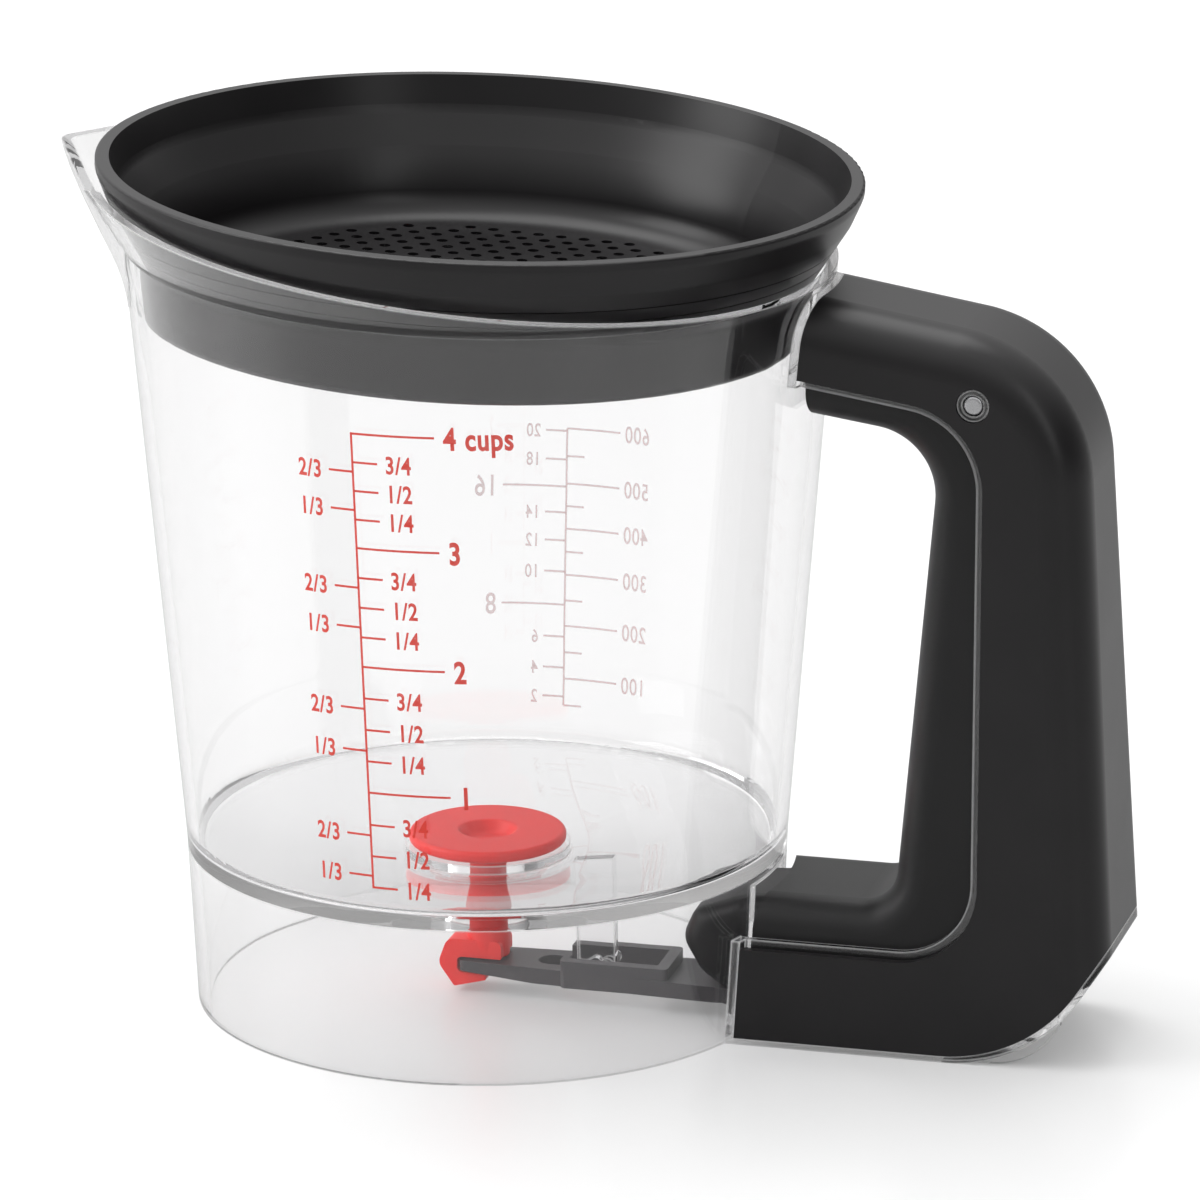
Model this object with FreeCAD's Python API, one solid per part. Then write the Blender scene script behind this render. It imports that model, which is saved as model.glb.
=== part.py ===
import FreeCAD, Part
import math
import os

V = FreeCAD.Vector

# A fat separator: a clear jug with a drain in its floor, a lift-out strainer, and a squeeze handle whose
# trigger rocks a bar under the floor and lifts the drain's stopper.
# Frame: +Z up, the jug's axis at x = y = 0, the table at z = 0, the handle towards +X, the spout towards -X.
# All lengths are millimetres.

# Jug wall, skirt and floor
base_radius = 53.9            # outside of the skirt on the table
floor_radius = 55.4           # outside of the wall beside the floor
floor_height = 32.0           # top of the floor where it meets the wall
taper_height = 162.0          # height at which taper_radius is measured
taper_radius = 66.3
wall = 2.0
floor_thickness = 2.6
floor_dish = 5.0              # fall of the floor from the wall to the drain
floor_corner = 2.5            # rounding between floor and wall
rim_height = 147.3            # rim plane over the jug's axis
rim_slope = 0.125             # fall of the rim plane towards the handle

# Drain
drain_radius = 6.8
drain_boss_radius = 15.3
drain_boss_height = 1.7       # above the floor's centre

# Spout: height, reach of the keel from the jug's axis, radius of the rounded keel
spout_stations = [
    (121.0, 61.4, 24.0),
    (126.0, 63.9, 21.0),
    (131.0, 66.3, 18.0),
    (138.0, 70.4, 13.0),
    (145.0, 74.3, 9.0),
    (151.0, 77.2, 7.0),
    (157.5, 79.4, 6.0),
    (164.0, 80.4, 6.0),
]

spout_root = 0.4              # low down, the spout starts this far inside the wall

# Strainer, measured down from its own rim plane
strainer_height = rim_height + 9.3    # rim plane over the jug's axis
strainer_tilt = 2.7           # degrees, lower towards the handle
strainer_lip = 1.7            # upright edge of the rim
strainer_wall = 2.2
flare_top_depth = 6.2
flare_top_radius = 67.5
strainer_rim = 1.8            # how far the rim stands past the flare's top
strainer_radius = flare_top_radius + strainer_rim
flare_depth = 17.0            # where the flare meets the straight body
flare_radius = 61.1
strainer_depth = 27.8
strainer_foot_radius = 60.3
strainer_floor = 2.2
strainer_corner = 6.0
strainer_bend = 24.0          # the smooth inside bend from flare to body
step_depths = (9.6, 12.2, 14.8)
step_cut = 0.45
hole_radius = 1.05
hole_pitch = 4.4
hole_field_radius = 53.0
seat_gap = 0.25               # between the strainer's flare and the jug

# Handle, in side view
handle_root = 46.0            # x inside the jug from which the handle's solids start
arm_height = 138.0            # top of the upper arm at arm_root
arm_root = 66.0
arm_slope = 0.16
back_foot = 119.8             # back face at heel_height
back_lean = 0.0563
heel_height = 20.0
heel_toe = 106.5              # where the sloping heel would meet the table
back_corner = 28.0
heel_corner = 30.0
gap_top = arm_height - 13.9   # shell's lower edge at arm_root
gap_slope = 0.15
gap_back = 96.6
gap_bottom = 18.1
gap_top_corner = 16.0
gap_bottom_corner = 15.0
handle_half_foot = 19.8       # half width at the table
handle_draft = 0.0286         # narrowing of the half width per mm of height
shell_edge = 8.5              # rounding of the shell's long edges
shell_wall = 1.6
collar = 1.5                  # clear ring between the jug's wall and the shell
web = 1.2                     # clear strip that closes the foot and heel
plate = 1.3                   # clear side plates inside the shell
plate_show = 1.5              # how far the plates stand past the shell's edge
plate_gap = 0.1
plate_toe = 14.0              # rounding of the plates' lower back corner

# Pivot
pin_x = 94.6
pin_z = arm_height - 16.0
pin_radius = 1.9
pin_inset = 0.3               # pin end below the shell's face
pin_dome = 0.8
frame_fit = 0.03
running_fit = 0.08
pin_boss = 2.9
boss_fit = 0.15

# Trigger, in side view
trigger_play = 0.35           # beside the plates
lip_height = arm_height - 21.8    # underside of the upper lip at arm_root
lip_slope = 0.14
lip_top = arm_height - 11.0
grip_low = 80.1               # finger face at grip_low_z
grip_low_z = 33.0
grip_lean = 0.0866
lower_top = 26.6
lower_bottom = 11.5
trigger_back = 101.5
ear_radius = 5.8
ear_corner = 7.5
grip_corner_top = 12.0
grip_corner_low = 6.5
trigger_edge = 6.0
trigger_skin = 2.8
trigger_side = 3.0
trigger_wall_gap = 1.8        # to the jug's wall
nose_half = 11.0
nose_tip = 38.8
nose_top = 21.5
nose_edge = 4.0
pad_x = 48.0
pad_gap = 0.25                # between the nose's pad and the bar
opening_play = 0.7            # beside the nose in the jug's wall
opening_top = 28.0
opening_start = 44.0

# Return spring between trigger and shell
spring_z = arm_height - 58.0
spring_radius = 4.0
spring_wire = 0.9
spring_turns = 8
spring_post = 2.9
spring_post_length = 5.0
spring_end = 0.3

# Rocking bar under the floor
bar_top = 6.4
bar_height = 3.0
bar_tip = -4.6
bar_end = 60.0
bar_tip_half = 4.6
bar_end_half = 8.5
bar_end_height = 2.0
bar_skin = 1.4
bar_rib = 1.3
bar_corner = 1.2
frame_start = 15.3
frame_end = 35.6
frame_half = 6.6
frame_rise = 2.2
frame_corner = 1.0
window_start = 16.6
window_end = 33.4
window_half = 4.4
slot_start = 9.6
slot_half = 2.6

# Fulcrum under the floor
fulcrum_x = 23.0
fulcrum_z = 6.6
fulcrum_radius = 1.25
fulcrum_half = 5.4
fulcrum_end_gap = 0.15
fin_start = 16.9
fin_half = 1.2
fin_foot = 1.6

# Stopper
disc_radius = 14.5
disc_thickness = 2.2
disc_edge = 0.9
disc_gap = 0.1                # over the drain's boss
dimple_radius = 5.4
dimple_depth = 2.2
plug_radius = 6.2
plug_depth = 1.5
stem_radius = 3.4
bulb_radius = 4.3
bulb_height = 14.0
eye_gap = 0.45                # round the bar's tip
hook_half = 3.9
hook_wall = 3.7
hook_sole = 2.9
hook_reach = 3.4
hook_toe = 0.4
hook_fall = 0.35              # the sole follows the bar's sloping underside
hook_crown = 3.4

seam_turn = 50.0              # keeps the seams of upright turned solids off the handle and the spout
tilted_seam_turn = 95.0       # and those of the tilted ones off both
far = 200.0                   # longer than anything it cuts
overlap = 1.0                 # how far joined solids run into each other


def side(y):
    """Places side view points in the plane at y."""
    return lambda point: V(point[0], y, point[1])


def plan(z):
    """Places plan view points in the plane at z."""
    return lambda point: V(point[0], point[1], z)


def rounded_wire(points, radii, place):
    """A closed wire through the points, with each corner rounded by its radius."""
    count = len(points)
    corners = []
    for index in range(count):
        here = V(points[index][0], points[index][1], 0)
        before = V(points[index - 1][0], points[index - 1][1], 0)
        after = V(points[(index + 1) % count][0], points[(index + 1) % count][1], 0)
        into = (before - here).normalize()
        out = (after - here).normalize()
        half = into.getAngle(out) / 2
        radius = radii[index]
        run = radius / math.tan(half)
        middle = here + (into + out).normalize() * (radius / math.sin(half) - radius) if radius else here
        corners.append((here + into * run, middle, here + out * run, radius))
    edges = []
    for index in range(count):
        start, middle, end, radius = corners[index]
        if radius:
            edges.append(Part.Arc(place(start), place(middle), place(end)).toShape())
        following = corners[(index + 1) % count][0]
        if (following - end).Length > 0.001:
            edges.append(Part.makeLine(place(end), place(following)))
    return Part.Wire(edges)


def slab(points, radii, half):
    """A side view outline made solid from y = -half to y = half."""
    face = Part.Face(rounded_wire(points, radii, side(-half)))
    return face.extrude(V(0, 2 * half, 0))


def lathe(points, radii=None, turn=seam_turn):
    """A solid turned about the Z axis from (radius, z) points."""
    face = Part.Face(rounded_wire(points, radii or [0] * len(points), side(0)))
    solid = face.revolve(V(0, 0, 0), V(0, 0, 1), 360)
    solid.rotate(V(0, 0, 0), V(0, 0, 1), turn)
    return solid


def block(x0, x1, half, z0, z1):
    return Part.makeBox(x1 - x0, 2 * half, z1 - z0, V(x0, -half, z0))


def cross_pin(x, z, radius, half):
    """A round bar along Y."""
    return Part.makeCylinder(radius, 2 * half, V(x, -half, z), V(0, 1, 0))


def meet(first, second):
    """Where two lines cross, each given by a point and a direction."""
    (px, pz), (dx, dz) = first
    (qx, qz), (ex, ez) = second
    along = ((qx - px) * ez - (qz - pz) * ex) / (dx * ez - dz * ex)
    return (px + along * dx, pz + along * dz)


def inset(points, distances):
    """The polygon with each side moved inwards by its distance; side k runs from point k to the next."""
    count = len(points)
    area = sum(points[k][0] * points[(k + 1) % count][1] - points[(k + 1) % count][0] * points[k][1]
               for k in range(count))
    turn = 1.0 if area > 0 else -1.0
    lines = []
    for k in range(count):
        x0, z0 = points[k]
        x1, z1 = points[(k + 1) % count]
        length = math.hypot(x1 - x0, z1 - z0)
        dx, dz = (x1 - x0) / length, (z1 - z0) / length
        shift = distances[k] * turn
        lines.append(((x0 - dz * shift, z0 + dx * shift), (dx, dz)))
    return [meet(lines[k - 1], lines[k]) for k in range(count)]


def wall_radius(z):
    """Outside radius of the jug's straight wall at a height."""
    if z < floor_height:
        return base_radius + (floor_radius - base_radius) * z / floor_height
    return floor_radius + (taper_radius - floor_radius) * (z - floor_height) / (taper_height - floor_height)


def jug_cone(offset):
    """The solid inside the jug's outer wall, grown by an offset."""
    return lathe([
        (0, -overlap),
        (wall_radius(-overlap) + offset, -overlap),
        (floor_radius + offset, floor_height),
        (wall_radius(taper_height + floor_height) + offset, taper_height + floor_height),
        (0, taper_height + floor_height),
    ])


def half_width(z, offset=0.0):
    return handle_half_foot - handle_draft * z - offset


def wedge(offset):
    """The drafted space between the handle's two sides, each side moved in by an offset."""
    low, high = -overlap, taper_height
    face = Part.Face(Part.makePolygon([
        V(0, -half_width(low, offset), low),
        V(0, half_width(low, offset), low),
        V(0, half_width(high, offset), high),
        V(0, -half_width(high, offset), high),
        V(0, -half_width(low, offset), low),
    ]))
    return face.extrude(V(far, 0, 0))


def on_strainer(shape):
    """Moves a solid from the strainer's own upright frame to its tilted seat."""
    shape.rotate(V(0, 0, 0), V(0, 1, 0), strainer_tilt)
    shape.translate(V(0, 0, strainer_height))
    return shape


def flare_solid(offset):
    """The strainer's smooth flare grown by an offset, as a solid for the jug's matching rim."""
    slope = (flare_top_radius - flare_radius) / (flare_depth - flare_top_depth)
    top = flare_top_radius + slope * flare_top_depth
    return on_strainer(lathe([
        (0, -flare_depth),
        (flare_radius + offset, -flare_depth),
        (top + offset, 0),
        (0, 0),
    ], None, tilted_seam_turn))


def flare_reach(z, offset):
    """Radius of the jug's flared rim beside the spout at a height."""
    tangent_x = -0.87 * strainer_radius
    depth = strainer_height - math.tan(math.radians(strainer_tilt)) * tangent_x - z
    slope = (flare_top_radius - flare_radius) / (flare_depth - flare_top_depth)
    return flare_radius + slope * (flare_depth - depth) + offset


def spout_solid(offset, grow):
    """The spout's prow: at each height two tangents join the jug's circle to a small round keel."""
    wires = []
    for z, keel, nose in spout_stations:
        ring = min(max(wall_radius(z), flare_reach(z, seat_gap + wall)), keel - spout_root) - offset
        nose_radius = nose - offset * 0.5
        centre = -(keel - offset) + nose_radius
        swing = math.acos(min(0.9995, (ring - nose_radius) / abs(centre)))
        ring_x, ring_y = -ring * math.cos(swing), ring * math.sin(swing)
        nose_x, nose_y = centre - nose_radius * math.cos(swing), nose_radius * math.sin(swing)
        inner_x = ring_x + grow
        place = plan(z)
        tip = place((centre - nose_radius, 0))
        wires.append(Part.Wire([
            Part.makeLine(place((inner_x, -ring_y)), place((ring_x, -ring_y))),
            Part.makeLine(place((ring_x, -ring_y)), place((nose_x, -nose_y))),
            Part.Arc(place((nose_x, -nose_y)), tip, place((nose_x, nose_y))).toShape(),
            Part.makeLine(place((nose_x, nose_y)), place((ring_x, ring_y))),
            Part.makeLine(place((ring_x, ring_y)), place((inner_x, ring_y))),
            Part.makeLine(place((inner_x, ring_y)), place((inner_x, -ring_y))),
        ]))
    return Part.makeLoft(wires, True, False)


def handle_outline(top=0.0, back=0.0, heel=0.0, foot=0.0, toe=heel_corner):
    """The handle's outer outline in side view, with its sides moved in and the heel's toe rounded."""
    top_line = ((arm_root, arm_height), (1.0, -arm_slope))
    back_line = ((back_foot, heel_height), (-back_lean, 1.0))
    points = [
        meet(top_line, ((handle_root, 0.0), (0.0, 1.0))),
        meet(top_line, back_line),
        (back_foot, heel_height),
        (heel_toe, 0.0),
        (handle_root, 0.0),
    ]
    radii = [0, back_corner - max(top, 0), 0, toe, 0]
    return inset(points, [top, back, heel, foot, 0.0]), radii


def finger_gap(distance=0.0):
    """The gap in the handle that the shell's edge follows, with its sides moved in."""
    top_line = ((arm_root, gap_top), (1.0, -gap_slope))
    points = [
        meet(top_line, ((handle_root, 0.0), (0.0, 1.0))),
        meet(top_line, ((gap_back, 0.0), (0.0, 1.0))),
        (gap_back, gap_bottom),
        (handle_root, gap_bottom),
    ]
    radii = [0, gap_top_corner - distance, gap_bottom_corner - distance, 0]
    return slab(*(inset(points, [distance, distance, distance, 0.0]), radii), far)


def long_edges(solid, offset):
    """The long edges of the handle's top and back, on both sides."""
    found = []
    for edge in solid.Edges:
        middle = edge.CenterOfMass
        on_side = abs(abs(middle.y) - half_width(middle.z, offset)) < 0.2
        if on_side and middle.z > heel_height + overlap and middle.x > handle_root + overlap:
            found.append(edge)
    return found


def handle_body(offset, heel, foot, edge):
    """The rounded bar of the handle, without its finger gap."""
    points, radii = handle_outline(offset, offset, heel, foot)
    solid = slab(points, radii, far).common(wedge(offset))
    return solid.makeFillet(edge, long_edges(solid, offset))


def make_handle_shell():
    """The black shell over the handle's top, back and sides, open to the fingers and at the foot."""
    shell = handle_body(0.0, web, web, shell_edge)
    cavity = handle_body(shell_wall, -far / 10, -far / 10, shell_edge - shell_wall)
    shell = shell.cut([cavity, finger_gap(), jug_cone(collar)])
    shell = shell.cut(cross_pin(pin_x, pin_z, pin_boss + boss_fit, far))
    return shell.fuse(shell_spring_post()).removeSplitter()


def back_inside(z):
    """x of the shell's inner back face at a height."""
    return back_foot - back_lean * (z - heel_height) - shell_wall


def shell_spring_post():
    start = back_inside(spring_z) - spring_post_length
    post = Part.makeCylinder(spring_post, spring_post_length + shell_wall / 2, V(start, 0, spring_z), V(1, 0, 0))
    return post


def make_frame():
    """The jug's handle frame: collar, side plates, pin bosses and the web under foot and heel."""
    solid = handle_body(0.0, 0.0, 0.0, shell_edge)
    foot_way = block(0, far, half_width(0.0, shell_wall + plate_gap + plate), -overlap, arm_height / 2)
    ring = solid.common(jug_cone(collar)).cut([finger_gap(plate_show), foot_way])
    points, radii = handle_outline(shell_edge, shell_edge, 0.0, 0.0, plate_toe)
    sheet = wedge(shell_wall + plate_gap).cut(wedge(shell_wall + plate_gap + plate))
    plates = slab(points, radii, far).common(sheet).cut(finger_gap(plate_show))
    points, radii = handle_outline(-far / 10, -far / 10, web, web)
    strip = solid.cut(slab(points, radii, far))
    bar_way = block(0, bar_end + 2 * overlap, bar_end_half + 2 * overlap, -overlap, far)
    strip = strip.cut(bar_way)
    boss = cross_pin(pin_x, pin_z, pin_boss, half_width(pin_z, pin_inset))
    boss = boss.cut(wedge(shell_wall + plate_gap + plate))
    return [ring, plates, strip, boss]


def floor_line():
    """(radius, z) points of the floor's top, from the axis to the wall."""
    low = floor_height - floor_dish
    return [(0, low), (drain_boss_radius, low), (floor_radius - wall, floor_height)]


def make_fin():
    """The fin under the floor, with the round fulcrum that carries the bar."""
    top = floor_height - floor_dish - floor_thickness / 2
    neck = fulcrum_radius + 0.15
    points = [
        (fin_start, top),
        (fin_start + 0.4, bar_top + 0.4),
        (fin_start + 0.4 + fin_foot, bar_top + 0.4),
        (fulcrum_x - neck, bar_top + fin_foot + 0.6),
        (fulcrum_x - neck, fulcrum_z),
        (fulcrum_x + neck, fulcrum_z),
        (fulcrum_x + neck, top),
    ]
    fin = slab(points, [0, 0.3, 0.6, 0.8, 0, 0, 0], fin_half)
    return fin.fuse(cross_pin(fulcrum_x, fulcrum_z, fulcrum_radius, fulcrum_half))


def make_jug_body():
    body = jug_cone(0.0).cut(block(-far, far, far, -far, 0.0))
    body = body.fuse([flare_solid(seat_gap + wall), spout_solid(0.0, 12.0)] + make_frame())
    tall = taper_height + floor_height
    low = floor_height - floor_dish
    inside = lathe(
        floor_line() + [(wall_radius(tall) - wall, tall), (0, tall)],
        [0, 4 * floor_corner, floor_corner, 0, 0])
    under_edge = floor_height - floor_thickness
    skirt = lathe([
        (0, -overlap),
        (wall_radius(-overlap) - wall, -overlap),
        (wall_radius(under_edge) - wall, under_edge),
        (drain_boss_radius, low - floor_thickness),
        (0, low - floor_thickness),
    ])
    rim_edge = far * rim_slope
    above = Part.Face(Part.makePolygon([
        V(-far, -far, rim_height + rim_edge),
        V(far, -far, rim_height - rim_edge),
        V(far, -far, 2 * far),
        V(-far, -far, 2 * far),
        V(-far, -far, rim_height + rim_edge),
    ])).extrude(V(0, 2 * far, 0))
    opening_half = nose_half + opening_play
    opening = block(opening_start, wall_radius(floor_height) + collar, opening_half, -overlap, opening_top)
    body = body.cut([inside, flare_solid(seat_gap), spout_solid(wall, 22.0), skirt, above, opening])
    boss = Part.makeCylinder(drain_boss_radius, drain_boss_height + floor_thickness / 2,
                             V(0, 0, low - floor_thickness / 2))
    body = body.fuse([boss, make_fin()])
    drain = Part.makeCylinder(drain_radius, floor_thickness + 2 * drain_boss_height + overlap,
                              V(0, 0, low - floor_thickness - overlap))
    body = body.cut([drain, cross_pin(pin_x, pin_z, pin_radius + frame_fit, far)])
    return body.removeSplitter()


def make_strainer():
    """The lift-out strainer: a flared rim over a shallow straight bowl with a perforated floor."""
    rim_inner = strainer_radius - strainer_wall - 0.3
    outside = lathe(
        [(0, 0), (strainer_radius, 0), (strainer_radius, -strainer_lip), (flare_top_radius, -flare_top_depth),
         (flare_radius, -flare_depth), (strainer_foot_radius, -strainer_depth), (0, -strainer_depth)],
        [0, 0.5, 2.0, 6.0, 3.0, 1.5, 0])
    inside = lathe(
        [(0, overlap), (rim_inner, overlap), (rim_inner, 0), (flare_top_radius - strainer_wall, -flare_top_depth),
         (flare_radius - strainer_wall, -flare_depth),
         (strainer_foot_radius - strainer_wall, strainer_floor - strainer_depth),
         (0, strainer_floor - strainer_depth)],
        [0, 0, 0, 6.0, strainer_bend, strainer_corner, 0])
    bowl = outside.cut(inside)
    slope = (flare_top_radius - flare_radius) / (flare_depth - flare_top_depth)
    grooves = []
    for depth in step_depths:
        radius = flare_radius + slope * (flare_depth - depth)
        grooves.append(lathe([(radius - step_cut, -depth), (radius + overlap, -depth),
                              (radius + overlap, -depth - overlap)]))
    holes = []
    row = hole_pitch * math.sqrt(3) / 2
    span = int(hole_field_radius / row) + 1
    for j in range(-span, span + 1):
        for i in range(-span, span + 1):
            x = hole_pitch * (i + 0.5 * (j % 2))
            y = row * j
            if math.hypot(x, y) < hole_field_radius:
                holes.append(Part.makeCylinder(hole_radius, strainer_floor + 2 * overlap,
                                               V(x, y, -strainer_depth - overlap)))
    return on_strainer(bowl.cut(grooves).cut(holes))


def trigger_outline():
    """The trigger's outline in side view, without its nose."""
    lip_line = ((arm_root, lip_height), (1.0, -lip_slope))
    grip_line = ((grip_low, grip_low_z), (grip_lean, 1.0))
    top_line = ((arm_root, lip_top), (1.0, -gap_slope))
    corner = meet(grip_line, ((0.0, lower_top), (1.0, 0.0)))
    ear_top = pin_z + ear_radius
    points = [
        meet(lip_line, ((handle_root, 0.0), (0.0, 1.0))),
        meet(lip_line, grip_line),
        corner,
        (handle_root, lower_top),
        (handle_root, lower_bottom),
        (trigger_back, lower_bottom),
        (trigger_back, ear_top),
        (pin_x - ear_radius, ear_top),
        meet(top_line, ((pin_x - ear_radius, 0.0), (0.0, 1.0))),
        meet(top_line, ((handle_root, 0.0), (0.0, 1.0))),
    ]
    radii = [0, grip_corner_top, grip_corner_low, 0, 0, 9.0, ear_corner, 5.0, 0, 0]
    return points, radii


def finger_edges(solid):
    """The long edges of the trigger's finger face, on both sides."""
    offset = shell_wall + plate_gap + plate + trigger_play
    found = []
    for edge in solid.Edges:
        middle = edge.CenterOfMass
        on_side = abs(abs(middle.y) - half_width(middle.z, offset)) < 0.2
        inside = middle.x < gap_back - overlap and lower_bottom + overlap < middle.z < lip_height + overlap
        if on_side and inside and middle.x > handle_root + overlap:
            found.append(edge)
    return found


def make_nose():
    """The trigger's nose, which reaches through the jug's wall and stands over the bar."""
    pad = bar_top + pad_gap
    points = [
        (handle_root + 20.0, lower_top - 0.6),
        (handle_root + 4.0, nose_top + 3.2),
        (nose_tip + 2.4, nose_top),
        (nose_tip, (nose_top + pad) / 2 + 2.0),
        (nose_tip + 3.6, pad + 3.0),
        (pad_x, pad - 0.22),
        (pad_x + 5.0, pad + 2.0),
        (handle_root + 20.0, lower_bottom + 0.6),
    ]
    nose = slab(points, [0, 6.0, 3.5, 4.5, 4.0, 3.0, 4.0, 0], nose_half)
    edges = []
    for edge in nose.Edges:
        middle = edge.CenterOfMass
        if abs(abs(middle.y) - nose_half) < 0.1 and middle.x < handle_root + 18.0:
            edges.append(edge)
    return nose.makeFillet(nose_edge, edges)


def make_trigger():
    """The trigger: lip, grip and lower arm as one open-backed channel, hung from its ears."""
    offset = shell_wall + plate_gap + plate + trigger_play
    points, radii = trigger_outline()
    body = slab(points, radii, far).common(wedge(offset))
    body = body.makeFillet(trigger_edge, finger_edges(body))
    skin = trigger_skin
    grip_line = ((grip_low + skin, grip_low_z), (grip_lean, 1.0))
    lip_line = ((arm_root, lip_height + skin), (1.0, -lip_slope))
    start = arm_root + 2 * skin
    low_start = handle_root + 20.0
    ceiling = arm_height
    pocket = slab([
        (start, ceiling),
        meet(lip_line, ((start, 0.0), (0.0, 1.0))),
        meet(lip_line, grip_line),
        meet(grip_line, ((0.0, lower_top - skin), (1.0, 0.0))),
        (low_start, lower_top - skin),
        (low_start, lower_bottom + skin),
        (far, lower_bottom + skin),
        (far, ceiling),
    ], [0, 0, grip_corner_top - skin, grip_corner_low / 2, 2.0, 2.0, 0, 0], far)
    body = body.cut(pocket.common(wedge(offset + trigger_side)))
    post_start = grip_low + grip_lean * (spring_z - grip_low_z) + skin / 2
    post = Part.makeCylinder(spring_post, spring_post_length + skin / 2, V(post_start, 0, spring_z), V(1, 0, 0))
    body = body.cut(jug_cone(trigger_wall_gap))
    body = body.fuse([make_nose(), post])
    return body.cut(cross_pin(pin_x, pin_z, pin_radius + running_fit, far)).removeSplitter()


def make_pivot_pin():
    pin = cross_pin(pin_x, pin_z, pin_radius, half_width(pin_z, pin_inset))
    ends = [edge for edge in pin.Edges if edge.Length > pin_radius and abs(edge.CenterOfMass.y) > pin_boss]
    return pin.makeFillet(pin_dome, ends)


def make_return_spring():
    """A compression spring along X, from the trigger's skin to the shell's back."""
    start = grip_low + grip_lean * (spring_z - grip_low_z) + trigger_skin + spring_end + spring_wire
    length = back_inside(spring_z) - spring_end - spring_wire - start
    pitch = length / spring_turns
    rise = pitch / (2 * math.pi * spring_radius)
    section = Part.Wire(Part.makeCircle(spring_wire / 2, V(spring_radius, 0, 0), V(0, 1, rise)))
    helix = Part.makeLongHelix(pitch, length, spring_radius)
    spring = Part.Wire(helix.Edges).makePipeShell([section], True, True)
    spring.rotate(V(0, 0, 0), V(0, 1, 0), 90)
    spring.translate(V(start, 0, spring_z))
    return spring


def bar_half(x):
    return bar_tip_half + (bar_end_half - bar_tip_half) * (x - bar_tip) / (bar_end - bar_tip)


def bar_plan(margin, z, height):
    """The bar's tapered plan, drawn in by a margin and made solid."""
    start, end = bar_tip + margin, bar_end - margin
    points = [(start, -bar_half(start) + margin), (end, -bar_half(end) + margin),
              (end, bar_half(end) - margin), (start, bar_half(start) - margin)]
    face = Part.Face(rounded_wire(points, [bar_corner] * 4, plan(z)))
    return face.extrude(V(0, 0, height))


def make_lever_bar():
    """The rocking bar: a ribbed tray with a raised window frame that turns on the fulcrum."""
    low = bar_top - bar_height
    thin = bar_top - bar_end_height
    profile = slab([
        (bar_tip, bar_top),
        (bar_end, bar_top),
        (bar_end, thin),
        (bar_end - 10.0, low),
        (slot_start, low),
        (bar_tip, thin),
    ], [0] * 6, far)
    bar = bar_plan(0.0, low, bar_height).common(profile)
    tray = bar_plan(bar_rib, low - overlap, bar_height + overlap - bar_skin)
    tray = tray.cut(block(bar_tip, slot_start, far, low - overlap, bar_top))
    tray = tray.cut(block(frame_start, frame_end, frame_half, low - overlap, bar_top))
    bar = bar.cut(tray)
    frame_points = [(frame_start, -frame_half), (frame_end, -frame_half),
                    (frame_end, frame_half), (frame_start, frame_half)]
    raised = Part.Face(rounded_wire(frame_points, [frame_corner] * 4, plan(low))).extrude(
        V(0, 0, bar_height + frame_rise))
    window = block(window_start, window_end, window_half, 0, 2 * bar_top)
    slot = Part.makeCylinder(slot_half, 2 * bar_top, V(slot_start + slot_half, 0, 0))
    slot = slot.fuse(block(slot_start + slot_half, window_start + overlap, slot_half, 0, 2 * bar_top))
    bar = bar.fuse(raised).cut([window, slot])
    bore = cross_pin(fulcrum_x, fulcrum_z, fulcrum_radius + running_fit, fulcrum_half + fulcrum_end_gap)
    return bar.cut(bore).removeSplitter()


def make_stopper():
    """The soft stopper: a dimpled disc on the drain, a stem through it and a hook on the bar's tip."""
    seat = floor_height - floor_dish + drain_boss_height + disc_gap
    top = seat + disc_thickness
    eye_top = bar_top + eye_gap
    disc = lathe(
        [(0, top - dimple_depth), (dimple_radius - 1.8, top - dimple_depth), (dimple_radius, top),
         (disc_radius, top), (disc_radius, seat), (plug_radius, seat), (plug_radius, seat - plug_depth),
         (stem_radius, seat - plug_depth - 1.5), (stem_radius, bulb_height + 4.0), (bulb_radius, bulb_height),
         (hook_half, eye_top), (0, eye_top)],
        [0, 1.6, 0.7, disc_edge, disc_edge, 0, 0.6, 0.6, 1.5, 1.5, 0, 0])
    eye_low = bar_top - bar_end_height - eye_gap
    left = bar_tip - eye_gap
    hook = slab([
        (hook_reach, eye_top + hook_crown),
        (hook_reach, eye_top),
        (left, eye_top),
        (left, eye_low),
        (hook_toe, eye_low - hook_fall),
        (hook_toe, eye_low - hook_fall - hook_sole / 3),
        (left - 0.6, eye_low - hook_sole),
        (left - hook_wall, (eye_top + eye_low) / 2),
        (left - hook_wall / 2, eye_top + hook_crown),
    ], [1.2, 0.3, 0.8, 0.8, 0.3, 0.3, 0.5, 2.5, 2.0], hook_half)
    return disc.fuse(hook).removeSplitter()


def export(name, shape):
    """Writes one piece to its STEP file and prints its size."""
    solids = shape.Solids
    print(name, "solids", len(solids), "valid", shape.isValid(), "volume", round(shape.Volume, 1))
    piece = solids[0] if len(solids) == 1 else Part.makeCompound(solids)
    piece.exportStep(os.path.join("parts", name + ".step"))


def main():
    os.makedirs("parts", exist_ok=True)
    export("jug_body", make_jug_body())
    export("strainer", make_strainer())
    export("handle_shell", make_handle_shell())
    export("trigger", make_trigger())
    export("pivot_pin", make_pivot_pin())
    export("return_spring", make_return_spring())
    export("lever_bar", make_lever_bar())
    export("stopper", make_stopper())


main()
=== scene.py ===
import math

import bmesh
import bpy
from mathutils import Matrix, Vector


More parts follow.
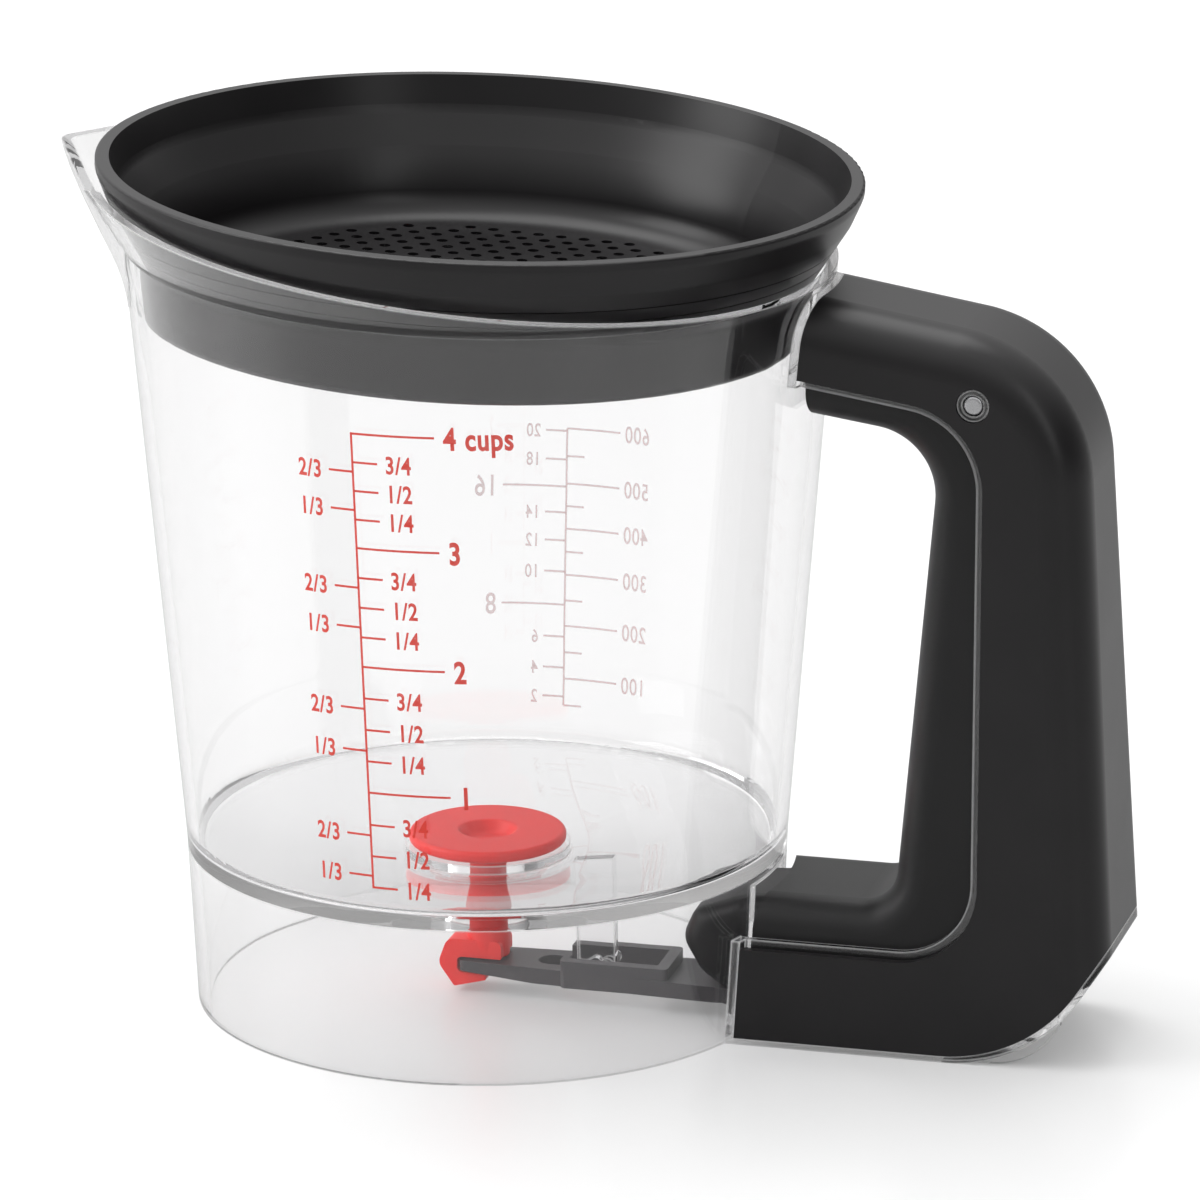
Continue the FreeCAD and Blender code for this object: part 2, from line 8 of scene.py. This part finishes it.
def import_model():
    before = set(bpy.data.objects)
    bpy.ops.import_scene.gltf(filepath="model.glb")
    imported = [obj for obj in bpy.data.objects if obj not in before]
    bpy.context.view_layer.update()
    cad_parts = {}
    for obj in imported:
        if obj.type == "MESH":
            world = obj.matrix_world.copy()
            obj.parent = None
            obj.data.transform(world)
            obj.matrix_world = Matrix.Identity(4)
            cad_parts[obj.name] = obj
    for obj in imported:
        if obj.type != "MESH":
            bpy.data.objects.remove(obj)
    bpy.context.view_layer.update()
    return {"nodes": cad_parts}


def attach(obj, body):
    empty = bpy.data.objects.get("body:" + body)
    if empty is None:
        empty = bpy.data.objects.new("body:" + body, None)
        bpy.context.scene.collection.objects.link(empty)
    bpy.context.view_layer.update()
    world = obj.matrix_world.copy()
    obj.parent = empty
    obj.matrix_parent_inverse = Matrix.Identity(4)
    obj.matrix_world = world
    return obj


# A clear fat separator on a white floor. The jug's axis is x = y = 0 and the table is z = 0.
# Lengths are metres where no comment says millimetres.

# Camera
CAMERA_PLACE = (0.3943, -1.3434, 0.4972)
CAMERA_TARGET = (0.0202, 0.0056, 0.0745)
CAMERA_LENS = 240.0           # millimetres, as is the sensor
CAMERA_SENSOR = 36.0
CAMERA_ROLL = -0.37           # degrees
CAMERA_REACH = 20.0

# Lamps: name, place, size, power
LAMP_TARGET = (0.02, 0.0, 0.07)
LAMPS = [
    ("top_lamp", (-0.3, 0.3, 1.5), (1.2, 1.2), 11.0),
    ("left_lamp", (-1.3, -0.5, 0.8), (0.8, 1.2), 9.5),
    ("right_lamp", (1.1, -0.9, 0.7), (0.3, 1.0), 1.5),
]

# World light: a base, and parts that grow or fall along an axis of the light's direction, each given by
# the axis, where it starts and ends, and its strength
WORLD_BASE = 0.4
WORLD_PARTS = [("X", -0.1, -0.9, 0.26), ("X", 0.2, 0.8, -0.24), ("Y", 0.0, 0.9, 0.2), ("Z", 0.3, 0.9, 0.85)]

# Floor
FLOOR_EDGE = 6.0
FLOOR_GREY = 0.7
FLOOR_GLOW = 0.2              # keeps the floor white to the camera
DIM_FLOOR_GREY = 0.46         # the floor as glossy surfaces mirror it
GLASS_SHARE = -0.52           # added to the dim floor's share where the clear plastic shows the floor

# Clear plastic
CLEAR_TINT = (0.972, 0.97, 0.972)
STRAIGHT_TINT = (0.98, 0.98, 0.984)
SMOKE_TINT = (0.5, 0.495, 0.49)
SMOKE = 10.0                  # density of what takes up light in the plastic
LONG_PATH = 4.5               # bounces after which light in the plastic goes straight on
EDGE_WIDTH = 0.0007
EDGE_HIGHLIGHT_COVER = 0.85             # how strongly the painted highlight covers the sharp edges
# grey of the painted edge highlight
EDGE_HIGHLIGHT_GREY = 0.95
FLAT_TURN = 0.985             # cosine between a face and its rounded form where an edge starts to show
SHARP_TURN = 0.8              # and where it shows fully

# Moulded plastic
CLOUD_SCALE = 60.0
GRAIN_STRENGTH = 0.05

# The jug's wall, as the solid has it, in millimetres
FLOOR_HEIGHT = 32.0
FLOOR_RADIUS = 55.4
TAPER_HEIGHT = 162.0
TAPER_RADIUS = 66.3
PRINT_LIFT = 0.06             # ink in front of the wall
PRINT_STEP = 1.0              # widest facet of the ink round the wall

# Printed scales: azimuths are degrees round the jug from its front, lengths are millimetres
CUP_AZIMUTH = -5.1
CUP_MARKS = [(4, 122.9), (3, 101.6), (2, 79.3), (1, 55.4)]
CUP_END = 37.2
CUP_QUARTERS = [("3/4", 0.25), ("1/2", 0.5), ("1/4", 0.75)]
CUP_THIRDS = [("2/3", 0.333), ("1/3", 0.667)]
CUP_QUARTERS_OF_ONE = [("3/4", 49.2), ("1/2", 43.2), ("1/4", 37.2)]
CUP_THIRDS_OF_ONE = [("2/3", 47.2), ("1/3", 39.4)]
CUP_TICK = 15.0
CUP_GAP = 1.6                 # from a long tick to its words
FRACTION_TICK = 4.6
FRACTION_GAP = 1.4

METRIC_AZIMUTH = 180.8
METRIC_MARKS = [(600, 91.2), (500, 80.6), (400, 71.9), (300, 63.0), (200, 53.1), (100, 42.9), (50, 37.7)]
METRIC_TICK = 11.0
METRIC_HALF_TICK = 3.6
OUNCE_MARKS = [(20, 90.7), (18, 85.2), (16, 80.0), (14, 75.0), (12, 69.6), (10, 63.6),
               (8, 57.2), (6, 51.0), (4, 45.0), (2, 39.4)]
OUNCE_TICK = 4.2
CUP_OF_OUNCES = 8             # each whole cup has a long tick and large figures
CUP_OF_OUNCES_TICK = 12.5
BACK_GAP = 1.0

LINE_WIDTH = 0.42
TEXT_HEIGHT = 3.3
BIG_TEXT_HEIGHT = 4.2
OUNCE_TEXT_HEIGHT = 2.6
WEIGHT = 0.1                  # how much each letter's outline is fattened
BIG_WEIGHT = 0.17
BACK_WEIGHT = 0.06
CAPITAL_SHARE = 0.73          # a capital's height over the size of its type
LETTER_WIDTH = 0.76           # of the type's own width
LETTER_SPACE = 1.08           # of the type's own spacing


# Node helpers


def feed(tree, socket, value):
    """Sets a socket to a constant, or links another node's output to it."""
    if isinstance(value, float):
        socket.default_value = value
    else:
        tree.links.new(value, socket)


def new_material(name):
    """An empty node material; returns the material, its node tree and its output."""
    material = bpy.data.materials.new(name)
    material.use_nodes = True
    tree = material.node_tree
    tree.nodes.clear()
    output = tree.nodes.new("ShaderNodeOutputMaterial")
    return material, tree, output


def principled(tree, colour, **settings):
    """A principled shader; a setting's name is its socket's, with _ for spaces."""
    shader = tree.nodes.new("ShaderNodeBsdfPrincipled")
    shader.inputs["Base Color"].default_value = (*colour, 1.0)
    for name, value in settings.items():
        shader.inputs[name.replace("_", " ")].default_value = value
    return shader


def coloured(tree, kind, colour):
    """A node of one colour, such as a plain shader."""
    node = tree.nodes.new(kind)
    node.inputs["Color"].default_value = (*colour, 1.0)
    return node


def mixed(tree, share, first, second):
    """Two shaders mixed; the share is the second one's."""
    node = tree.nodes.new("ShaderNodeMixShader")
    feed(tree, node.inputs["Fac"], share)
    tree.links.new(first, node.inputs[1])
    tree.links.new(second, node.inputs[2])
    return node.outputs["Shader"]


def calculate(tree, operation, *values):
    """A math node fed with constants and outputs of other nodes."""
    node = tree.nodes.new("ShaderNodeMath")
    node.operation = operation
    for socket, value in zip(node.inputs, values):
        feed(tree, socket, value)
    return node.outputs["Value"]


def noise(tree, scale, detail=3.0, roughness=0.5):
    """Noise in the object's own coordinates."""
    place = tree.nodes.new("ShaderNodeTexCoord")
    texture = tree.nodes.new("ShaderNodeTexNoise")
    texture.inputs["Scale"].default_value = scale
    texture.inputs["Detail"].default_value = detail
    texture.inputs["Roughness"].default_value = roughness
    tree.links.new(place.outputs["Object"], texture.inputs["Vector"])
    return texture.outputs["Fac"]


def spread(tree, value, low, high, start=0.0, end=1.0):
    """Maps a value that runs from start to end to a range, and holds it there."""
    node = tree.nodes.new("ShaderNodeMapRange")
    node.inputs["From Min"].default_value = start
    node.inputs["From Max"].default_value = end
    node.inputs["To Min"].default_value = low
    node.inputs["To Max"].default_value = high
    tree.links.new(value, node.inputs["Value"])
    return node.outputs["Result"]


def two_colours(tree, value, first, second):
    """A soft change from one colour to another around the middle of a value."""
    ramp = tree.nodes.new("ShaderNodeValToRGB")
    ramp.color_ramp.elements[0].position = 0.3
    ramp.color_ramp.elements[0].color = (*first, 1.0)
    ramp.color_ramp.elements[1].position = 0.7
    ramp.color_ramp.elements[1].color = (*second, 1.0)
    tree.links.new(value, ramp.inputs["Fac"])
    return ramp.outputs["Color"]


def bump(tree, height, depth, strength):
    node = tree.nodes.new("ShaderNodeBump")
    node.inputs["Distance"].default_value = depth
    node.inputs["Strength"].default_value = strength
    tree.links.new(height, node.inputs["Height"])
    return node.outputs["Normal"]


# Materials


def moulded(name, dark, light, gloss, grain, grain_depth, specular):
    """Moulded plastic: two close shades, uneven gloss and a fine grain."""
    material, tree, output = new_material(name)
    shader = principled(tree, dark, Specular_IOR_Level=specular)
    cloud = noise(tree, CLOUD_SCALE, 4.0)
    grain_normal = bump(tree, noise(tree, grain, 2.0), grain_depth, GRAIN_STRENGTH)
    tree.links.new(two_colours(tree, cloud, dark, light), shader.inputs["Base Color"])
    tree.links.new(spread(tree, cloud, *gloss), shader.inputs["Roughness"])
    tree.links.new(grain_normal, shader.inputs["Normal"])
    tree.links.new(shader.outputs["BSDF"], output.inputs["Surface"])
    return material


def edge_mask(tree):
    """Where the painted edge highlight goes: 0 on open faces, rising to the highlight's full cover on the
    sharp edges of a moulding.
    """
    rounded = tree.nodes.new("ShaderNodeBevel")
    rounded.samples = 4
    rounded.inputs["Radius"].default_value = EDGE_WIDTH
    surface = tree.nodes.new("ShaderNodeNewGeometry")
    turned = tree.nodes.new("ShaderNodeVectorMath")
    turned.operation = "DOT_PRODUCT"
    tree.links.new(rounded.outputs["Normal"], turned.inputs[0])
    tree.links.new(surface.outputs["Normal"], turned.inputs[1])
    return spread(tree, turned.outputs["Value"], 0.0, EDGE_HIGHLIGHT_COVER, FLAT_TURN, SHARP_TURN)


def caught_light(tree):
    """Painted highlight for a clear moulding's sharp edges: a pale grey lit from both sides, standing in for
    the light the edges catch.
    """
    highlight_grey = (EDGE_HIGHLIGHT_GREY, EDGE_HIGHLIGHT_GREY, EDGE_HIGHLIGHT_GREY)
    front = coloured(tree, "ShaderNodeBsdfDiffuse", highlight_grey).outputs["BSDF"]
    back = coloured(tree, "ShaderNodeBsdfTranslucent", highlight_grey).outputs["BSDF"]
    return mixed(tree, 0.5, front, back)


def clear_plastic():
    """Clear polished plastic that lets lamp light and long paths inside it straight through."""
    material, tree, output = new_material("clear_plastic")
    shader = principled(tree, CLEAR_TINT, Roughness=0.0, IOR=1.5, Transmission_Weight=1.0)
    tree.links.new(spread(tree, noise(tree, 25.0), 0.0, 0.02), shader.inputs["Roughness"])
    tree.links.new(bump(tree, noise(tree, 12.0, 0.0), 0.0003, 0.08), shader.inputs["Normal"])
    # the sharp edges get a pale painted highlight
    highlighted = mixed(tree, edge_mask(tree), shader.outputs["BSDF"], caught_light(tree))
    through = coloured(tree, "ShaderNodeBsdfTransparent", STRAIGHT_TINT).outputs["BSDF"]
    path = tree.nodes.new("ShaderNodeLightPath")
    is_long = calculate(tree, "GREATER_THAN", path.outputs["Ray Depth"], LONG_PATH)
    straight = calculate(tree, "MAXIMUM", path.outputs["Is Shadow Ray"], is_long)
    tree.links.new(mixed(tree, straight, highlighted, through), output.inputs["Surface"])
    smoke = coloured(tree, "ShaderNodeVolumeAbsorption", SMOKE_TINT)
    smoke.inputs["Density"].default_value = SMOKE
    tree.links.new(smoke.outputs["Volume"], output.inputs["Volume"])
    return material


def silicone():
    """Soft red silicone: a little light passes into it, and its skin is satin."""
    material, tree, output = new_material("red_silicone")
    shader = principled(tree, (0.85, 0.022, 0.018), Subsurface_Weight=0.25, Subsurface_Scale=0.002,
                        Specular_IOR_Level=0.3)
    shader.inputs["Subsurface Radius"].default_value = (1.0, 0.25, 0.2)
    cloud = noise(tree, 90.0, 3.0)
    red = two_colours(tree, cloud, (0.82, 0.018, 0.015), (0.88, 0.027, 0.022))
    tree.links.new(red, shader.inputs["Base Color"])
    tree.links.new(spread(tree, cloud, 0.36, 0.5), shader.inputs["Roughness"])
    tree.links.new(bump(tree, noise(tree, 2600.0, 2.0), 0.00003, 0.3), shader.inputs["Normal"])
    tree.links.new(shader.outputs["BSDF"], output.inputs["Surface"])
    return material


def steel(name, gloss):
    """Grey steel with fine drawn lines."""
    material, tree, output = new_material(name)
    shader = principled(tree, (0.5, 0.5, 0.51), Metallic=1.0)
    lines = noise(tree, 1500.0, 4.0, 0.7)
    tree.links.new(spread(tree, lines, *gloss), shader.inputs["Roughness"])
    tree.links.new(bump(tree, lines, 0.00001, 0.2), shader.inputs["Normal"])
    tree.links.new(shader.outputs["BSDF"], output.inputs["Surface"])
    return material


def ink(name, colour, cover):
    """Screen-printed ink with slightly uneven cover."""
    material, tree, output = new_material(name)
    shader = principled(tree, colour, Roughness=0.45)
    through = tree.nodes.new("ShaderNodeBsdfTransparent")
    uneven = spread(tree, noise(tree, 900.0), cover - 0.08, cover + 0.08)
    printed = mixed(tree, uneven, through.outputs["BSDF"], shader.outputs["BSDF"])
    tree.links.new(printed, output.inputs["Surface"])
    return material


def floor_surface(tree, path):
    """The floor's plain surface, dimmer where glossy surfaces and the clear plastic show it."""
    plain = principled(tree, (FLOOR_GREY, FLOOR_GREY, FLOOR_GREY), Roughness=0.25, Specular_IOR_Level=0.25)
    dim = principled(tree, (DIM_FLOOR_GREY, DIM_FLOOR_GREY, DIM_FLOOR_GREY), Roughness=0.5)
    mirrored = calculate(tree, "MULTIPLY_ADD", path.outputs["Is Transmission Ray"], GLASS_SHARE,
                         path.outputs["Is Glossy Ray"])
    share = calculate(tree, "MAXIMUM", mirrored, 0.0)
    return mixed(tree, share, plain.outputs["BSDF"], dim.outputs["BSDF"])


def floor_glow(tree, path):
    """A glow seen only by the camera and through the plastic."""
    glow = coloured(tree, "ShaderNodeEmission", (1.0, 1.0, 1.0))
    glow.inputs["Strength"].default_value = FLOOR_GLOW
    none = tree.nodes.new("ShaderNodeEmission")
    none.inputs["Strength"].default_value = 0.0
    seen = calculate(tree, "MAXIMUM", path.outputs["Is Camera Ray"], path.outputs["Is Transmission Ray"])
    return mixed(tree, seen, none.outputs["Emission"], glow.outputs["Emission"])


def floor_material():
    """A white floor that keeps the object's shadow and a faint reflection."""
    material, tree, output = new_material("white_floor")
    path = tree.nodes.new("ShaderNodeLightPath")
    total = tree.nodes.new("ShaderNodeAddShader")
    tree.links.new(floor_surface(tree, path), total.inputs[0])
    tree.links.new(floor_glow(tree, path), total.inputs[1])
    tree.links.new(total.outputs["Shader"], output.inputs["Surface"])
    return material


# Studio


def make_world():
    """White behind the object, a soft studio gradient for the light on it."""
    world = bpy.data.worlds.new("studio")
    bpy.context.scene.world = world
    world.use_nodes = True
    tree = world.node_tree
    tree.nodes.clear()
    output = tree.nodes.new("ShaderNodeOutputWorld")
    place = tree.nodes.new("ShaderNodeTexCoord")
    along = tree.nodes.new("ShaderNodeSeparateXYZ")
    tree.links.new(place.outputs["Generated"], along.inputs["Vector"])
    total = WORLD_BASE
    for axis, start, end, strength in WORLD_PARTS:
        part = spread(tree, along.outputs[axis], 0.0, strength, start, end)
        total = calculate(tree, "ADD", part, total)
    light = coloured(tree, "ShaderNodeBackground", (1.0, 1.0, 1.0))
    tree.links.new(total, light.inputs["Strength"])
    white = coloured(tree, "ShaderNodeBackground", (1.0, 1.0, 1.0))
    path = tree.nodes.new("ShaderNodeLightPath")
    sky = mixed(tree, path.outputs["Is Camera Ray"], light.outputs["Background"], white.outputs["Background"])
    tree.links.new(sky, output.inputs["Surface"])


def area_lamp(name, place, size, power):
    """A soft rectangular lamp aimed at the jug."""
    data = bpy.data.lights.new(name, "AREA")
    data.shape = "RECTANGLE"
    data.size, data.size_y = size
    data.energy = power
    lamp = bpy.data.objects.new(name, data)
    lamp.location = place
    aim = Vector(LAMP_TARGET) - Vector(place)
    lamp.rotation_euler = aim.to_track_quat("-Z", "Y").to_euler()
    bpy.context.collection.objects.link(lamp)


def make_camera():
    data = bpy.data.cameras.new("camera")
    data.lens = CAMERA_LENS
    data.sensor_width = CAMERA_SENSOR
    data.clip_end = CAMERA_REACH
    camera = bpy.data.objects.new("camera", data)
    aim = Vector(CAMERA_TARGET) - Vector(CAMERA_PLACE)
    turn = aim.to_track_quat("-Z", "Y").to_matrix().to_4x4()
    roll = Matrix.Rotation(math.radians(CAMERA_ROLL), 4, "Z")
    camera.matrix_world = Matrix.Translation(CAMERA_PLACE) @ turn @ roll
    bpy.context.collection.objects.link(camera)
    bpy.context.scene.camera = camera


def make_floor():
    mesh = bpy.data.meshes.new("floor")
    edge = FLOOR_EDGE
    corners = [(-edge, -edge, 0), (edge, -edge, 0), (edge, edge, 0), (-edge, edge, 0)]
    mesh.from_pydata(corners, [], [(0, 1, 2, 3)])
    mesh.materials.append(floor_material())
    floor = bpy.data.objects.new("floor", mesh)
    bpy.context.collection.objects.link(floor)


# Solids


def dress(frame, node, material):
    """Gives a solid its material."""
    data = frame["nodes"][node].data
    data.materials.clear()
    data.materials.append(material)


def dress_solids(frame):
    black = moulded("black_plastic", (0.0055, 0.0048, 0.0055), (0.0082, 0.0072, 0.008), (0.3, 0.36),
                    1400.0, 0.00001, 0.42)
    soft_black = moulded("trigger_plastic", (0.005, 0.0047, 0.005), (0.0075, 0.007, 0.0075), (0.4, 0.48),
                         1100.0, 0.00003, 0.4)
    grey = moulded("grey_plastic", (0.05, 0.047, 0.05), (0.062, 0.058, 0.062), (0.35, 0.45),
                   1500.0, 0.00003, 0.4)
    dress(frame, "jug_body", clear_plastic())
    dress(frame, "strainer", black)
    dress(frame, "handle_shell", black)
    dress(frame, "trigger", soft_black)
    dress(frame, "pivot_pin", steel("pin_steel", (0.22, 0.32)))
    dress(frame, "return_spring", steel("spring_steel", (0.25, 0.35)))
    dress(frame, "lever_bar", grey)
    dress(frame, "stopper", silicone())


# Printed scales, drawn flat in millimetres and then bent round the wall


def wall_radius(z):
    """Outside radius of the jug's wall at a height, in millimetres."""
    slope = (TAPER_RADIUS - FLOOR_RADIUS) / (TAPER_HEIGHT - FLOOR_HEIGHT)
    return FLOOR_RADIUS + slope * (z - FLOOR_HEIGHT)


def on_wall(u, z, azimuth):
    """The point u mm round the wall from an azimuth, at height z mm."""
    radius = wall_radius(z) + PRINT_LIFT
    angle = math.radians(azimuth) + u / radius
    return Vector((radius * math.sin(angle), -radius * math.cos(angle), z)) / 1000


def stroke(flat, u0, z0, u1, z1):
    """A rectangle of ink between two corners."""
    corners = [flat.verts.new((u, z, 0)) for u, z in ((u0, z0), (u1, z0), (u1, z1), (u0, z1))]
    flat.faces.new(corners)


def tick(flat, z, u0, u1):
    stroke(flat, u0, z - LINE_WIDTH / 2, u1, z + LINE_WIDTH / 2)


def write(flat, words, u, z, height, weight, align="LEFT"):
    """Adds words to the ink, with their middle at z."""
    curve = bpy.data.curves.new("words", "FONT")
    curve.body = words
    curve.align_x = align
    curve.size = height / CAPITAL_SHARE
    curve.offset = weight
    curve.space_character = LETTER_SPACE
    text = bpy.data.objects.new("words", curve)
    bpy.context.collection.objects.link(text)
    bpy.context.view_layer.update()
    made = bpy.data.meshes.new_from_object(text)
    narrow = Matrix.Diagonal((LETTER_WIDTH, 1.0, 1.0, 1.0))
    made.transform(Matrix.Translation((u, z - height / 2, 0)) @ narrow)
    flat.from_mesh(made)
    bpy.data.objects.remove(text)
    bpy.data.meshes.remove(made)
    bpy.data.curves.remove(curve)


def cut_in_strips(flat):
    """Cuts the ink upright every PRINT_STEP, so that it can bend."""
    across = [vertex.co.x for vertex in flat.verts]
    start, end = min(across), max(across)
    for k in range(1, int((end - start) / PRINT_STEP) + 1):
        everything = flat.verts[:] + flat.edges[:] + flat.faces[:]
        place = (start + k * PRINT_STEP, 0, 0)
        bmesh.ops.bisect_plane(flat, geom=everything, plane_co=place, plane_no=(1, 0, 0))


def print_on_wall(flat, name, azimuth, material):
    """Bends flat ink round the wall and makes it a piece of the jug."""
    cut_in_strips(flat)
    for vertex in flat.verts:
        vertex.co = on_wall(vertex.co.x, vertex.co.y, azimuth)
    mesh = bpy.data.meshes.new(name)
    flat.to_mesh(mesh)
    flat.free()
    mesh.materials.append(material)
    piece = bpy.data.objects.new(name, mesh)
    bpy.context.collection.objects.link(piece)
    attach(piece, "jug")


def cup_fractions():
    """The quarters at the right and the thirds at the left of the cup scale, each with its height."""
    quarters, thirds = list(CUP_QUARTERS_OF_ONE), list(CUP_THIRDS_OF_ONE)
    heights = [z for cups, z in CUP_MARKS]
    for high, low in zip(heights, heights[1:]):
        quarters += [(words, high + (low - high) * share) for words, share in CUP_QUARTERS]
        thirds += [(words, high + (low - high) * share) for words, share in CUP_THIRDS]
    return quarters, thirds


def cup_scale():
    flat = bmesh.new()
    top = CUP_MARKS[0][1]
    stroke(flat, -LINE_WIDTH / 2, CUP_END - LINE_WIDTH / 2, LINE_WIDTH / 2, top + LINE_WIDTH / 2)
    for cups, z in CUP_MARKS:
        words = "4 cups" if cups == 4 else str(cups)
        tick(flat, z, 0, CUP_TICK)
        write(flat, words, CUP_TICK + CUP_GAP, z, BIG_TEXT_HEIGHT, BIG_WEIGHT)
    quarters, thirds = cup_fractions()
    for words, z in quarters:
        tick(flat, z, 0, FRACTION_TICK)
        write(flat, words, FRACTION_TICK + FRACTION_GAP, z, TEXT_HEIGHT, WEIGHT)
    for words, z in thirds:
        tick(flat, z, -FRACTION_TICK, 0)
        write(flat, words, -FRACTION_TICK - FRACTION_GAP, z, TEXT_HEIGHT, WEIGHT, "RIGHT")
    print_on_wall(flat, "cup_scale", CUP_AZIMUTH, ink("red_ink", (0.74, 0.036, 0.018), 0.95))


def metric_scale():
    """The millilitre and ounce scales on the far wall, which the front shows mirrored."""
    flat = bmesh.new()
    heights = [z for amount, z in METRIC_MARKS]
    stroke(flat, -LINE_WIDTH / 2, heights[-1], LINE_WIDTH / 2, heights[0])
    for amount, z in METRIC_MARKS[:-1]:
        tick(flat, z, -METRIC_TICK, 0)
        write(flat, str(amount), -METRIC_TICK - BACK_GAP, z, TEXT_HEIGHT, BACK_WEIGHT, "RIGHT")
    for high, low in zip(heights, heights[1:-1]):
        tick(flat, (high + low) / 2, -METRIC_HALF_TICK, 0)
    tick(flat, heights[-1], -METRIC_HALF_TICK, 0)
    for amount, z in OUNCE_MARKS:
        whole_cup = amount % CUP_OF_OUNCES == 0
        length = CUP_OF_OUNCES_TICK if whole_cup else OUNCE_TICK
        height = BIG_TEXT_HEIGHT if whole_cup else OUNCE_TEXT_HEIGHT
        tick(flat, z, 0, length)
        write(flat, str(amount), length + BACK_GAP, z, height, BACK_WEIGHT)
    print_on_wall(flat, "metric_scale", METRIC_AZIMUTH, ink("faded_red_ink", (0.72, 0.26, 0.24), 0.5))


def main():
    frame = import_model()
    bpy.context.scene.view_settings.view_transform = "Standard"
    make_world()
    make_camera()
    make_floor()
    for lamp in LAMPS:
        area_lamp(*lamp)
    dress_solids(frame)
    cup_scale()
    metric_scale()


main()
